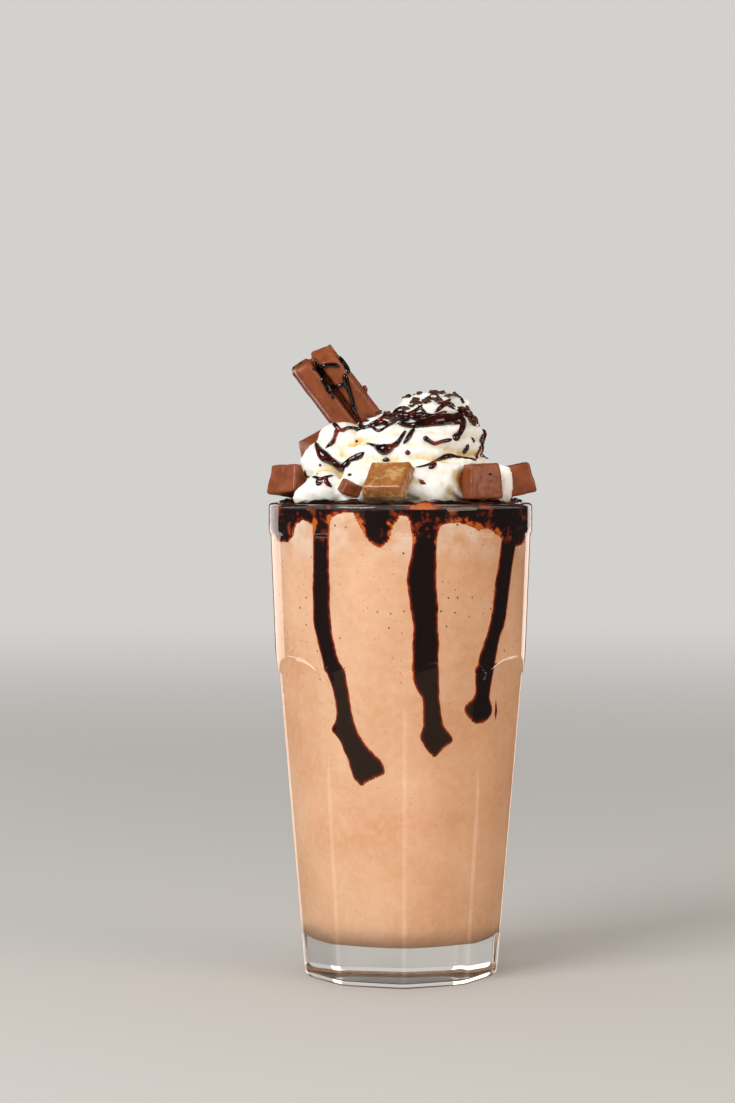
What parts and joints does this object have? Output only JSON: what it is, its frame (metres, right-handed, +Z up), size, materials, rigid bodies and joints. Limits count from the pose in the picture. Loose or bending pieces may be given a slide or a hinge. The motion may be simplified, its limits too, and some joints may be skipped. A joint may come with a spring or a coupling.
{
  "type": "chocolate milkshake",
  "caption": "Tall panelled glass of chocolate milkshake with sauce, piped whipped cream, chocolate chunks and a leaning chocolate wafer bar.",
  "frame": {"origin": "centre of the glass's flat base, on the surface it stands on", "axes": "+Z up along the glass's axis, -Y to the front, +X to the right of the front view; the wafer bar leans to -X"},
  "size_m": [0.0894, 0.088, 0.2108],
  "materials": {
    "glass": "clear pressed soda-lime glass",
    "milkshake": "opaque milky drink with fine bubbles",
    "syrup": "glossy dark chocolate sauce",
    "cream": "soft whipped cream",
    "chocolate": "satin moulded milk chocolate",
    "caramel_chocolate": "glossy caramel chocolate"
  },
  "bodies": {
    "root": {"glass": "glass", "milkshake": "milkshake", "syrup": "syrup", "whipped_cream": "cream", "wafer_bar": "chocolate", "chunk_left": "chocolate", "chunk_front": "caramel_chocolate", "chunk_right": "chocolate", "chunk_far_right": "chocolate", "chunk_small": "chocolate", "chunk_high": "chocolate", "chunk_back_left": "chocolate", "chunk_back_right": "chocolate"}
  },
  "joints": []
}
